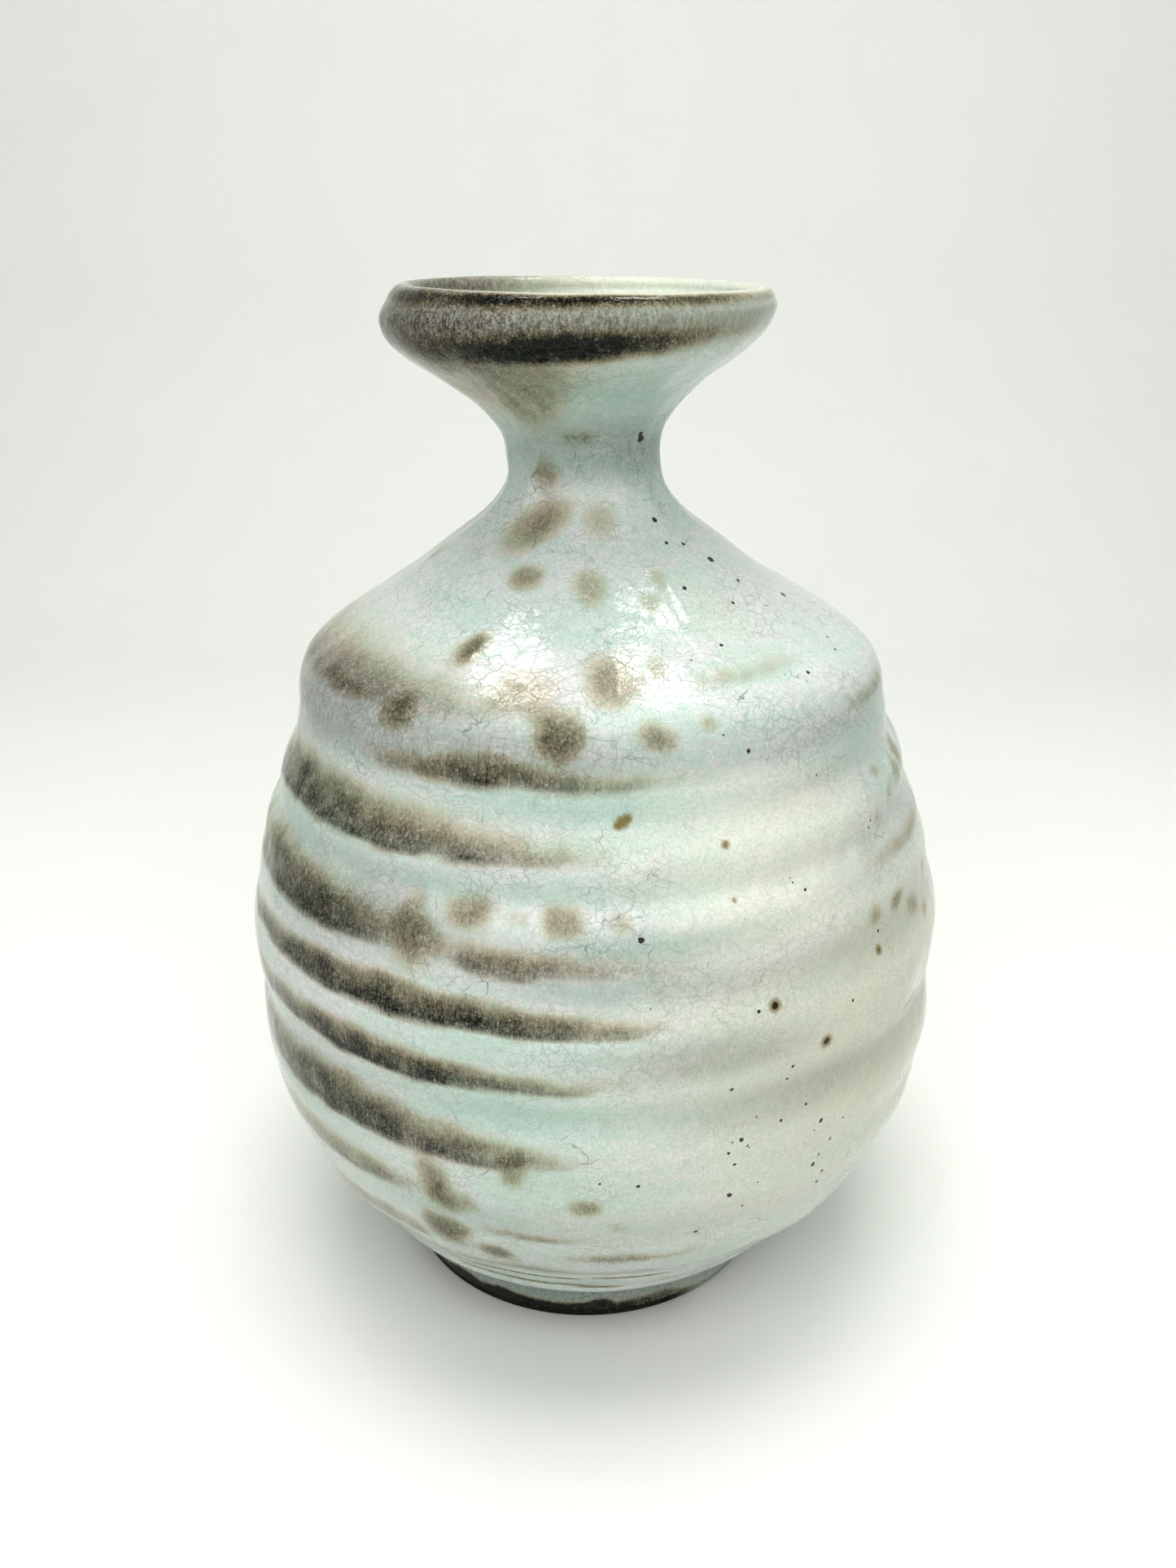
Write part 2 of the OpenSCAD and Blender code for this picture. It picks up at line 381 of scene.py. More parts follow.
def glaze_face(path):
    """Points of the outer glaze's visible face. Its relief fades at the lip and at both ends."""
    angle, level = ANGLES[None, :], path[:, 1:]
    is_outside = (np.arange(len(path)) <= crest_of(path))[:, None]
    in_cup = SWELL_IN_CUP * uneven.at(angle, level + 40)
    stands_out = np.where(is_outside, relief(angle, level), in_cup)
    stands_out *= 1 - 0.8 * hump(level, VASE_H, 2.0)
    stands_out *= rise(level, BARE_EDGE, BARE_EDGE + 2)
    stands_out *= np.where(is_outside, 1, rise(level, BORE_HIGH, BORE_HIGH + 4))
    normals = outward(path)
    return placed(path[:, :1] + normals[:, :1] * stands_out, level + normals[:, 1:] * stands_out)


def glaze_back(path):
    back = spaced(path[::-1], BACK_SPACING)
    place = back + outward(back) * SKIN
    return placed(place[:, :1], place[:, 1:])


# ------------ the glaze's painting

# Iron bands: softness of the lower and of the upper edge, then (angle, lower edge, upper edge, strength)
# Most bands are weaker near -80 degrees, at the left edge in the front view: that dip is painted reflection
# of the pale surroundings, not less iron.
BANDS = [
    # smear over the left of the shoulder's corner
    (1.2, 4.0, [(-175, 111, 116, 0), (-120, 110.5, 116, 0.45), (-75, 110.5, 115.5, 0.42),
        (-55, 111, 115.5, 0.44), (-40, 111.5, 115, 0.3), (-20, 112, 114.5, 0.2), (-8, 112.5, 114, 0.12),
        (2, 113, 114, 0)]),
    # band in the waist
    (0.8, 1.3, [(-45, 103.5, 105.6, 0), (-36, 103.4, 105.8, 0.35), (-22, 103.6, 106.6, 0.72),
        (-12, 103.8, 106.4, 0.66), (-2, 103.6, 105.6, 0.5), (7, 103.8, 105.4, 0.35), (14, 104, 105, 0.14),
        (24, 104.4, 105, 0)]),
    # widest band of the upper belly
    (0.7, 2.8, [(-170, 93, 98, 0), (-120, 92.5, 98, 0.6), (-82, 92.4, 98.5, 0.42), (-66, 92.6, 98.8, 0.76),
        (-48, 92.7, 98.2, 0.8), (-30, 93, 97.6, 0.7), (-18, 93.4, 97, 0.54), (-8, 93.8, 96.2, 0.38),
        (0, 94.4, 95.6, 0.22), (6, 95, 95.4, 0)]),
    # dark patch with a broad brown top
    (0.8, 3.0, [(-160, 80, 86, 0), (-110, 79.5, 86, 0.5), (-80, 80, 85, 0.35), (-64, 79.2, 85.4, 0.75),
        (-52, 79.1, 85, 0.95), (-44, 79.3, 84.6, 0.92), (-36, 79.8, 84, 0.6), (-31, 80.5, 84, 0.25),
        (-28, 80.5, 83, 0)]),
    # its tail
    (0.9, 1.7, [(-27, 80.8, 82.6, 0), (-22, 80.4, 82.6, 0.35), (-16, 79.4, 82.4, 0.74),
        (-11, 79.2, 82.2, 0.66), (-4, 79.8, 82, 0.36), (5, 80, 81.6, 0.22), (14, 80.4, 81.2, 0)]),
    # long dark band of the middle
    (0.7, 1.5, [(-178, 71, 74, 0), (-120, 70.6, 74, 0.7), (-82, 71, 73, 0.35), (-64, 71, 73.6, 0.75),
        (-48, 70.9, 75, 1.02), (-30, 71, 75.4, 0.96), (-14, 71.2, 74.8, 0.92), (-5, 71.4, 74.2, 0.74),
        (3, 71.8, 73.6, 0.5), (12, 72.8, 73.4, 0)]),
    (0.7, 1.6, [(-150, 62, 65, 0), (-100, 62, 65, 0.5), (-76, 62.6, 65, 0.3), (-54, 62.2, 65.4, 0.8),
        (-36, 61.8, 66, 1.08), (-22, 62.1, 65.4, 0.95), (-10, 62.7, 64.8, 0.55), (-1, 63.5, 64.8, 0.3),
        (6, 64.4, 65, 0)]),
    # broad soft band under the widest part
    (0.9, 2.3, [(-170, 50, 54, 0), (-120, 49.5, 55, 0.55), (-76, 50.5, 54.5, 0.3), (-60, 50, 55, 0.6),
        (-45, 49.6, 55.6, 0.9), (-32, 49.4, 55, 0.95), (-22, 49.4, 54, 0.74), (-13, 49.6, 53.2, 0.52),
        (-6, 50.4, 52.2, 0.3), (2, 51.5, 52.2, 0)]),
    (1.0, 2.2, [(-110, 39, 45, 0), (-70, 39, 44, 0.34), (-48, 39.3, 43.6, 0.42), (-38, 39.4, 43.4, 0.55),
        (-31, 40, 42.4, 0.3), (-26, 41, 42.4, 0)]),
    # thin streaks low on the front
    (0.7, 1.0, [(-18, 35.2, 36.6, 0), (-14, 35, 36.6, 0.35), (-9, 34.8, 36.2, 0.5), (-4, 35.2, 36, 0.25),
        (1, 35.5, 36, 0)]),
    (0.7, 1.2, [(-6, 29.6, 30.6, 0), (0, 29.4, 31, 0.35), (5, 29.2, 31, 0.45), (11, 29.4, 30.6, 0.3),
        (22, 29.8, 30.4, 0)]),
    (0.8, 1.4, [(-30, 24, 25.6, 0), (-14, 24, 26.6, 0.3), (-5, 24, 25.6, 0.3), (10, 24, 25, 0)]),
    (0.9, 1.6, [(-100, 27, 32, 0), (-60, 27, 32, 0.34), (-38, 27.5, 31.4, 0.36), (-31, 28, 31.2, 0.25),
        (-27, 29, 31, 0)]),
    # right-hand side
    (0.6, 0.9, [(18, 114.6, 116, 0), (28, 114.8, 116, 0.22), (42, 115, 116, 0.18), (54, 115, 116, 0)]),
    (0.7, 1.0, [(50, 108.4, 109.4, 0), (60, 108.2, 109.6, 0.26), (68, 107.8, 109.4, 0.34),
        (78, 108, 109.3, 0.28), (95, 108, 109, 0)]),
    (0.7, 1.1, [(46, 85.8, 87.2, 0), (56, 85.8, 87.2, 0.2), (66, 85.4, 87.2, 0.3), (85, 85, 87, 0.3),
        (110, 86, 87, 0)]),
    (0.8, 1.4, [(72, 91, 92.6, 0), (80, 91, 93.4, 0.2), (92, 91, 93.4, 0.4), (110, 91, 93, 0)]),
    # neck
    (0.6, 0.9, [(-16, 144, 145, 0), (-6, 144, 145.2, 0.3), (4, 144, 145.2, 0.34), (14, 144.2, 145, 0)]),
    # dark roll under the mouth cup, and the brown wash below it
    (1.7, 1.4, [(-150, 156, 159, 0), (-90, 157, 159.2, 0.45), (-58, 157, 159.2, 0.6),
        (-40, 156.6, 159.2, 0.9), (-28, 156.6, 159.3, 1.35), (-16, 156.7, 159.5, 2.1),
        (-4, 156.9, 159.6, 2.3), (8, 157.2, 159.6, 1.9), (20, 157.6, 159.6, 1.25),
        (34, 158.3, 159.6, 0.75), (48, 159, 159.8, 0.35), (66, 159.2, 159.8, 0)]),
    (4.0, 2.0, [(-90, 152, 157, 0), (-55, 150, 157, 0.34), (-30, 147.5, 157, 0.44),
        (-12, 148.5, 157, 0.39), (2, 153, 157, 0.14), (14, 154, 157, 0)]),
    # foot
    (0.7, 0.8, [(-110, 0, 1, 0), (-70, 0, 1.8, 1.1), (-50, 0, 2.8, 1.8), (-40, 0, 3.9, 2.3),
        (-33, 0, 3.1, 2.3), (-26, 0, 3.8, 2.4), (-17, 0, 3.3, 2.4), (-8, 0, 3, 2.4), (0, 0, 3.4, 2.3),
        (5, 0, 4.3, 2.2), (9, 0, 3.1, 1.5), (15, 0, 3.5, 1.05), (24, 0, 3.7, 0.95), (30, 0, 2.6, 0.7),
        (38, 0, 1.4, 0.3), (60, 0, 1, 0.2), (120, 0, 1.8, 1), (178, 0, 1.4, 0)]),
]

# Iron spots: (angle, height, half width, half height along the wall, lean in degrees, strength)
SPOTS = [
    (-28, 139, 2.4, 2.4, 0, 0.42), (-30, 132, 3.6, 6, 38, 0.42), (-21, 133.2, 3, 4.4, 30, 0.2),
    (8, 133.2, 2.8, 3.4, 0, 0.22), (-22, 126.2, 2.8, 2.4, 0, 0.5), (1, 125.4, 2.6, 3.2, 0, 0.34),
    (-28, 118.4, 2, 3.2, 20, 0.8), (4.5, 116.2, 3.6, 4.6, 0, 0.5), (14.5, 117, 1.6, 2, 0, 0.28),
    (-13, 115, 5, 3.4, -20, 0.3), (26, 126, 1.8, 2.2, 0, 0.2), (20, 123.6, 1.8, 1.6, 0, 0.2),
    (-36.5, 111, 2.8, 2.8, -10, 0.64), (-55, 111.8, 8, 1.3, 0, 0.3), (-5.5, 110.2, 3.1, 3.5, 14, 0.74),
    (-9, 112.6, 2.8, 1.8, 40, 0.26), (11, 110.4, 2.4, 2.1, 0, 0.46), (21, 111.6, 1.6, 1.4, 0, 0.25),
    (-17, 106.4, 2.8, 2, 0, 0.4), (-27, 104.6, 2.2, 1.6, 0, 0.3), (-18.5, 87.2, 3.4, 2.5, 0, 0.52),
    (-4.5, 87.1, 3, 2.1, 0, 0.46), (-11.5, 87.2, 1.6, 1.2, 0, 0.2), (3.5, 87, 1.9, 1.4, 0, 0.24),
    (-28, 83, 3.4, 5, 0, 0.62), (-12, 49.6, 2.6, 3.2, 0, 0.6), (-25, 44.4, 3, 4.6, -10, 0.58),
    (-23, 41.4, 3.4, 2.8, 0, 0.58), (-2, 43.3, 2.3, 1.7, 0, 0.46), (-25, 33.2, 3.8, 4.4, 20, 0.8),
    (-16.5, 29.4, 2.8, 2, 15, 0.66), (3, 39.6, 1, 0.9, 0, 0.25), (57, 92.2, 2.2, 1.4, 20, 0.26),
    (63, 93.6, 1.8, 1.8, 0, 0.32), (68, 95.4, 1.5, 2.6, 0, 0.38), (73, 97.4, 1.4, 3.2, 0, 0.42),
    (60, 97.8, 1, 0.8, 0, 0.3), (48, 80, 1.6, 1.6, 0, 0.35), (55, 79.8, 1.8, 1.7, 0, 0.52),
    (61, 77, 1.9, 1.7, 0, 0.45), (70, 79.2, 2, 2, 0, 0.5), (66, 74, 1.6, 1.5, 0, 0.35),
    # (-63, 96) and (-64, 84) on the next line are no iron: a tall thin dark line, painted reflection of an
    # edge in the surroundings
    (84, 76, 2.2, 2, 0, 0.45), (-63, 96, 1.4, 3.6, -8, 0.55), (-64, 84, 1.5, 4.4, 0, 0.5),
    (105, 112, 3.4, 2.8, 0, 0.5), (128, 104, 2.8, 2.4, 0, 0.45), (150, 118, 3.6, 3.2, 0, 0.45),
    (165, 86, 3, 2.6, 0, 0.6), (-165, 110, 3, 2.8, 0, 0.6), (-140, 124, 3.4, 3.4, 20, 0.5),
    (-100, 121, 2.8, 2.8, 0, 0.5), (-80, 126, 2.4, 2.4, 0, 0.4), (140, 60, 2.6, 2.2, 0, 0.5),
    (112, 44, 2.4, 2.2, 0, 0.4), (-135, 66, 2.8, 2.4, 0, 0.5),
]

# Areas with (angle, height, half width in degrees, half height, strength)
CREAM = [
    (30, 95, 24, 9, 0.85), (28, 86, 15, 5, 0.45), (20, 70, 10, 16, 0.3), (10, 38, 22, 5, 0.25),
    (130, 80, 40, 25, 0.5), (-38, 99.8, 20, 1.6, 0.2), (62, 162, 34, 4, 0.3), (36, 122, 20, 5, 0.3),
]
# Straw-coloured glaze. The areas at (52, 66) and (54, 46), low on the belly, are also painted shade, darker
# where less light reaches.
STRAW_AND_SHADE_AREAS = [
    (-20, 161.5, 120, 4, 0.5), (52, 66, 40, 20, 0.75), (54, 46, 44, 16, 0.6), (130, 60, 50, 30, 0.6),
]
POOLS_AND_SHADE = [
    (12, 143, 60, 5, 0.9), (-6, 101.4, 26, 2.6, 0.9), (-14, 90.6, 34, 1.8, 0.7), (-8, 78, 20, 1.6, 0.5),
    (4, 84, 16, 2.6, 0.85), (24, 84.5, 8, 2.6, 0.5), (22, 70, 10, 3, 0.5), (-10, 68.6, 24, 1.6, 0.6),
    (-10, 59, 24, 3.2, 0.9), (-2, 46.5, 16, 3.5, 0.5), (-22, 39, 14, 4, 0.6), (-6, 122, 18, 3, 0.6),
    (-40, 122, 16, 2.5, 0.4), (20, 151, 40, 5, 0.9), (48, 141, 18, 6, 1), (-75, 142, 20, 6, 0.4),
    # (-8, 7) at the end of the next line is painted shade: deeper colour on the foot wall under the belly
    (54, 104, 18, 4, 0.8), (64, 96, 14, 3, 0.5), (-70, 91, 18, 2, 0.6), (-8, 7, 50, 3, 1),
    (-5, 17.5, 24, 2, 0.8), (50, 161.5, 44, 3.6, 0.95), (130, 95, 60, 4, 0.6), (180, 60, 60, 5, 0.7),
    (-130, 84, 40, 4, 0.7), (170, 124, 60, 5, 0.5),
]
ASH_AND_SHADE = [
    (-58, 107.6, 44, 5.2, 0.42), (-48, 112.5, 26, 3.2, 0.36), (-12, 108.5, 20, 3.2, 0.2),
    (36, 108.5, 50, 3.6, 0.24), (-96, 160.5, 80, 6, 0.85), (-24, 161.5, 56, 4, 0.6),
    (44, 161.5, 44, 4, 0.34), (-44, 157.5, 34, 3, 0.34), (14, 142.5, 70, 4.5, 0.34),
    # (10, 5) is painted shade: the foot wall greyed all round, under the belly
    (10, 5, 260, 4.5, 0.42), (5, 78.3, 20, 2.6, 0.22), (16, 67.5, 16, 3.6, 0.28), (26, 58, 18, 4, 0.2),
    (54, 58, 24, 5, 0.18), (0, 38, 30, 5, 0.2), (-2, 28, 34, 4, 0.18), (-50, 84, 24, 6.5, 0.3),
    (-62, 54, 30, 7, 0.26), (8, 83, 20, 2.6, 0.18), (50, 100, 22, 5, 0.12), (-32, 84.5, 14, 5, 0.22),
    (52, 77, 30, 4, 0.2), (60, 89, 24, 4, 0.16), (-48, 34, 30, 6, 0.04), (-120, 106, 50, 6, 0.45),
    (-140, 76, 40, 8, 0.35),
]
SPECKLED = [
    (50, 122, 50, 13, 1), (28, 52, 34, 16, 1), (36, 92, 40, 20, 0.8), (34, 72, 30, 12, 0.8),
    (60, 60, 30, 20, 0.7), (110, 100, 50, 30, 0.7),
]
ZONES = {"cream": CREAM, "straw": STRAW_AND_SHADE_AREAS, "pool": POOLS_AND_SHADE, "ash": ASH_AND_SHADE, "speckled": SPECKLED}

# A band with a softer foot than this is a wash, brown all over
SOFT_WASH = 1.5
# Strength of a band, and how much of it is lost from its lower to its upper edge
BAND_GAIN = 1.40
BAND_FADE = 0.32
SPOT_GAIN = 1.1
# No glaze holds more iron than this
IRON_MOST = 2.5
# Dark line along the lip's outer edge
LIP_LINE_Z = 164.2
LIP_LINE_HALF = 0.75
# Iron that gathers in the trim lines, and painted shade in their grooves
TRIM_IRON_AND_SHADE = 1.2
TRIM_IRON_HALF = 0.34

jitter_round = Ripples(11, size=7, count=70)
jitter_up = Ripples(12, size=5, count=80, stretch=1.3)
jitter_long = Ripples(13, size=12, count=60, stretch=1.2)
blotch = Ripples(14, size=6, count=60, stretch=1.3)


def band_at(stations, angle):
    """Lower edge, upper edge and strength of a band at each angle."""
    angles, lower, upper, strength = zip(*stations)
    return (np.interp(angle, angles, lower), np.interp(angle, angles, upper),
            np.interp(angle, angles, strength, left=0, right=0))


def band_strength(soft_foot, soft_top, stations, angle, height):
    lower, upper, strength = band_at(stations, angle)
    body = rise(height, lower - soft_foot, lower + soft_foot)
    body = body * (1 - rise(height, upper - 0.7 * soft_top, upper + 1.3 * soft_top))
    climb = np.clip((height - lower) / np.maximum(upper - lower, 0.1), 0, 1.5)
    return BAND_GAIN * strength * body * (1 - BAND_FADE * climb)


def band_warmth(stations, angle, height):
    """0 along the lower edge of a band and just below it, 1 at its upper edge and away from it."""
    lower, upper, strength = band_at(stations, angle)
    above_foot = rise(height, lower - 4, lower - 2.5) * rise(strength, 0, 0.1)
    return 1 - above_foot * (1 - rise(height, lower, upper))


def spot_strength(spot, angle, height, radius):
    middle, level, half_wide, half_high, lean, strength = spot
    sideways, up = across(middle, level, angle, height, radius)
    c, s = math.cos(math.radians(lean)), math.sin(math.radians(lean))
    a = (sideways * c - up * s) / half_wide
    b = (up * c + sideways * s) / half_high
    return SPOT_GAIN * strength * (1 - rise(np.hypot(a, b), 0.2, 1.45))


def lip_line(angle, height):
    wander = 0.10 * np.sin(np.radians(3 * angle + 40)) + 0.08 * np.sin(np.radians(8 * angle))
    line = np.where(height > LIP_LINE_Z, 1.0, hump(height, LIP_LINE_Z + wander, LIP_LINE_HALF))
    strength = 1.15 + 0.3 * np.cos(np.radians(2 * angle + 20)) + 0.2 * np.sin(np.radians(11 * angle))
    return line * strength * (1 - 0.6 * rise(angle, 10, 65))


def zone_strength(zones, angle, height):
    total = np.zeros(np.broadcast(angle, height).shape)
    for middle, level, half_turn, half_high, strength in zones:
        reach = (turn_from(angle, middle) / half_turn) ** 2 + ((height - level) / half_high) ** 2
        total = 1 - (1 - total) * (1 - strength * np.exp(-(reach**1.5)))
    return np.clip(total, 0, 1)


def paint_outside(angle, height, radius):
    """Fields for the glaze material. Every edge is shaken a little."""
    girth = radius / BELLY_R
    shaken = angle + 0.6 * jitter_round.at(angle, height) * girth
    raised = height + (0.18 * jitter_long.at(angle, height) + 0.09 * jitter_up.at(angle, height)) * girth**2
    iron = np.zeros(np.broadcast(angle, height).shape)
    warm = np.ones(iron.shape)
    for soft_foot, soft_top, stations in BANDS:
        iron = np.maximum(iron, band_strength(soft_foot, soft_top, stations, shaken, raised))
        if soft_foot < SOFT_WASH:
            warm = np.minimum(warm, band_warmth(stations, shaken, raised))
    iron = iron * np.clip(1 + 0.11 * blotch.at(angle, height), 0.5, 1.5)
    for spot in SPOTS:
        added = spot_strength(spot, shaken, raised, radius)
        iron = iron + added * (1 - 0.6 * np.clip(iron, 0, 1))
        warm = np.maximum(warm, rise(added, 0.0, 0.12))
    iron += lip_line(angle, height)
    # the trim lines: iron and painted shade in the grooves
    for line in TRIM_LINES:
        iron += TRIM_IRON_AND_SHADE * trim_line(line, 3, TRIM_IRON_HALF, angle, height)
    fields = {"iron": np.clip(iron, 0, IRON_MOST), "warm": warm}
    for name, zones in ZONES.items():
        fields[name] = zone_strength(zones, shaken, raised)
    return fields


def paint_cup(angle, height):
    """The same fields inside the mouth cup, which is ashen on the left and pale on the right."""
    flat = np.zeros(np.broadcast(angle, height).shape)
    left = 1 - rise(np.abs(turn_from(angle, -95)), 30, 100)
    high = rise(height, 146, 158)
    return {
        "iron": flat + 0.05 + 0.18 * left * rise(height, 150, 164),
        "warm": flat + 1,
        "cream": flat + 0.55 * (1 - left) * high,
        "pool": flat + 0.5 * (1 - rise(height, BORE_HIGH, 157)),
        "straw": flat + 0.18 * high,
        "ash": flat + 0.62 * left * rise(height, 148, 160),
        "speckled": flat + 0.3,
    }


def paint_glaze(glaze, path):
    angle, level = ANGLES[None, :], path[:, 1:]
    cup_fields = paint_cup(angle, level)
    crest = crest_of(path)
    over_crest = rise(np.arange(len(path)), crest - 3.5, crest - 0.5)[:, None]
    for name, values in paint_outside(angle, level, path[:, :1]).items():
        write_field(glaze, name, values * (1 - over_crest) + cup_fields[name] * over_crest)


# ------------ materials


def display(red, green, blue):
    """Linear colour from display values of 0 to 255."""
    shares = [c / 255 for c in (red, green, blue)]
    return (*(((s + 0.055) / 1.055) ** 2.4 if s > 0.04 else s / 12.92 for s in shares), 1)


class Look:
    """A node material, built by calls that each return an output socket."""

    def __init__(self, name):
        self.material = bpy.data.materials.new(name)
        self.material.use_nodes = True
        self.nodes = self.material.node_tree.nodes
        self.links = self.material.node_tree.links
        self.shader = self.nodes["Principled BSDF"]
        self.here = self.make("ShaderNodeTexCoord").outputs["Object"]

    def make(self, kind, inputs=None, **settings):
        node = self.nodes.new(kind)
        for key, value in settings.items():
            setattr(node, key, value)
        for key, value in (inputs or {}).items():
            self.put(node.inputs[key], value)
        return node

    def put(self, socket, value):
        if isinstance(value, bpy.types.NodeSocket):
            self.links.new(value, socket)
        else:
            socket.default_value = value

    def math(self, operation, a, b, clamp=False):
        return self.make("ShaderNodeMath", {0: a, 1: b}, operation=operation, use_clamp=clamp).outputs[0]

    def product(self, value, *others):
        for other in others:
            value = self.math("MULTIPLY", value, other)
        return value

    def weighted(self, *terms):
        """Sum of (value, weight) pairs."""
        total = 0.0
        for value, weight in terms:
            total = self.math("ADD", total, self.product(value, weight))
        return total

    def vector(self, operation, a, b):
        return self.make("ShaderNodeVectorMath", {0: a, 1: b}, operation=operation)

    def scaled(self, value, low, high, new_low=0.0, new_high=1.0):
        """value from the range low-high to new_low-new_high, smooth and clamped."""
        inputs = {"Value": value, "From Min": low, "From Max": high, "To Min": new_low, "To Max": new_high}
        return self.make("ShaderNodeMapRange", inputs, interpolation_type="SMOOTHSTEP").outputs["Result"]

    def field(self, name):
        return self.make("ShaderNodeAttribute", attribute_name=name).outputs["Fac"]

    def noise(self, per_mm, detail=3.0, rough=0.55, at=None):
        inputs = {"Vector": at or self.here, "Scale": per_mm / MM, "Detail": detail, "Roughness": rough}
        return self.make("ShaderNodeTexNoise", inputs).outputs["Fac"]

    def cells(self, cell_mm, feature, at=None):
        inputs = {"Vector": at or self.here, "Scale": 1 / (cell_mm * MM), "Randomness": 1.0}
        return self.make("ShaderNodeTexVoronoi", inputs, feature=feature).outputs["Distance"]

    def dots(self, cell_mm, at=None):
        """Distance from one random point in each cell, in cells."""
        return self.cells(cell_mm, "F1", at)

    def net(self, cell_mm, width, at):
        """1 on the edges of random cells. width is in cells."""
        return self.scaled(self.cells(cell_mm, "DISTANCE_TO_EDGE", at), 0.0, width, 1.0, 0.0)

    def warped(self, per_mm, amount_mm, stretch=(1, 1, 1)):
        """Object position shaken by noise, and stretched."""
        inputs = {"Vector": self.here, "Scale": per_mm / MM, "Detail": 2.0}
        noise = self.make("ShaderNodeTexNoise", inputs).outputs["Color"]
        centred = self.vector("SUBTRACT", noise, (0.5, 0.5, 0.5)).outputs[0]
        shake = self.vector("MULTIPLY", centred, (2 * amount_mm * MM,) * 3).outputs[0]
        moved = self.vector("ADD", self.here, shake).outputs[0]
        return self.vector("MULTIPLY", moved, stretch).outputs[0]

    def mix(self, amount, a, b, blend="MIX"):
        node = self.make("ShaderNodeMix", data_type="RGBA", blend_type=blend)
        self.put(node.inputs["Factor"], amount)
        self.put(node.inputs[6], a)
        self.put(node.inputs[7], b)
        return node.outputs[2]

    def ramp(self, value, stops):
        node = self.make("ShaderNodeValToRGB", {"Fac": value})
        elements = node.color_ramp.elements
        while len(elements) < len(stops):
            elements.new(0.5)
        for element, (place, colour) in zip(elements, stops):
            element.position = place
            element.color = colour
        return node.outputs["Color"]

    def bump(self, height, depth_mm, normal=None):
        inputs = {"Height": height, "Distance": depth_mm * MM}
        if normal is not None:
            inputs["Normal"] = normal
        return self.make("ShaderNodeBump", inputs).outputs["Normal"]

    def finish(self, colour, rough, normal=None, specular=0.5):
        self.put(self.shader.inputs["Base Color"], colour)
        self.put(self.shader.inputs["Roughness"], rough)
        if normal is not None:
            self.put(self.shader.inputs["Normal"], normal)
        self.shader.inputs["Specular IOR Level"].default_value = specular
        return self.material


CELADON = display(201, 217, 208)
POOLED = display(180, 202, 192)
MILKY = display(217, 218, 216)
CREAMY = display(227, 226, 212)
STRAW = display(213, 212, 193)
DULL = display(160, 168, 158)
ASH_TINT = (0.13, 0.10, 0.08, 1)
# What iron leaves of the light that the plain glaze returns
IRON_TINTS = [
    (0.00, (1.000, 1.000, 1.000, 1)),
    (0.10, (0.890, 0.850, 0.772, 1)),
    (0.22, (0.690, 0.622, 0.510, 1)),
    (0.36, (0.490, 0.430, 0.335, 1)),
    (0.50, (0.330, 0.284, 0.210, 1)),
    (0.64, (0.198, 0.171, 0.120, 1)),
    (0.80, (0.074, 0.067, 0.044, 1)),
    (1.00, (0.007, 0.008, 0.004, 1)),
]
# Density of iron at the dark end of the tints
IRON_FULL = 1.6
CRACK_DARK = display(96, 110, 100)
CRACK_STAINED = display(62, 66, 56)
# Colour of the pale hairlines: painted highlights, the glints that the crackle catches
CRACK_GLINT = display(244, 246, 240)
BUBBLE = display(212, 210, 196)
SPECK_DARK = display(38, 30, 16)
SPECK_TAN = display(124, 104, 34)
# The field values of the glaze inside, which isn't painted
PLAIN_GLAZE = {"iron": 0.05, "cream": 0.4, "pool": 0.3, "ash": 0.1, "straw": 0.2}

# Single iron specks: (angle, height, half size)
DARK_SPECKS = [
    (45, 144, 0.6), (44, 144.7, 0.45), (42.5, 132.5, 0.42), (40, 129.7, 0.32), (49, 129.2, 0.32),
    (34, 124.6, 0.36), (56, 126.8, 0.55), (75, 120.5, 0.5), (33, 118.5, 0.28), (49, 114, 0.34),
    (27, 107.4, 0.3), (41.5, 101.5, 0.32), (50.6, 90.5, 0.36), (34, 87.5, 0.26), (6.6, 84.8, 0.45),
    (7, 76.2, 0.42), (7.6, 75.5, 0.42), (26, 73.3, 0.5), (35, 65.2, 0.52), (48, 74.7, 0.34),
    (19.3, 61.7, 0.34), (29, 63, 0.26), (9, 57.2, 0.36), (0.5, 48.2, 0.26), (6, 47.3, 0.32),
    (20, 42.8, 0.4), (57.5, 47.5, 0.36), (13, 101, 0.2), (21, 53, 0.36), (22, 51.8, 0.28),
    (32, 55.5, 0.3), (35, 51.5, 0.42), (38, 46.5, 0.34), (36, 44.5, 0.28), (35, 43, 0.4),
    (37.5, 40.5, 0.34), (37, 38.5, 0.4), (27, 39.5, 0.3), (22.5, 40, 0.24), (15.5, 36, 0.36),
]
TAN_SPECKS = [(5.3, 100.1, 0.70), (4.6, 99.7, 0.90), (3.9, 99.3, 0.65), (26, 73.3, 0.95), (35, 65.2, 1.0),
              (48, 74.7, 0.8), (21, 95.6, 0.60), (21.5, 88.5, 0.50), (36, 60, 0.5)]


def surface_point(angle, height):
    """Place of a point of the glazed outside, in metres."""
    turn = math.radians(angle)
    radius = float(curve(OUTLINE, height))
    x = radius * math.sin(turn) + float(curve(DRIFT, height))
    return (x * MM, -radius * math.cos(turn) * MM, height * MM)


# Past every speck, in half sizes of a speck
FAR_OFF = 9.0


def speck_mask(look, specks, roughen, soft=0.12):
    """1 inside any of the listed specks."""
    nearest = FAR_OFF
    for angle, height, size in specks:
        gap = look.vector("DISTANCE", look.here, surface_point(angle, height)).outputs["Value"]
        nearest = look.math("MINIMUM", look.product(gap, 1 / (size * MM)), nearest)
    return look.scaled(look.math("ADD", nearest, roughen), 1.0 - soft, 1.0 + soft, 1.0, 0.0)


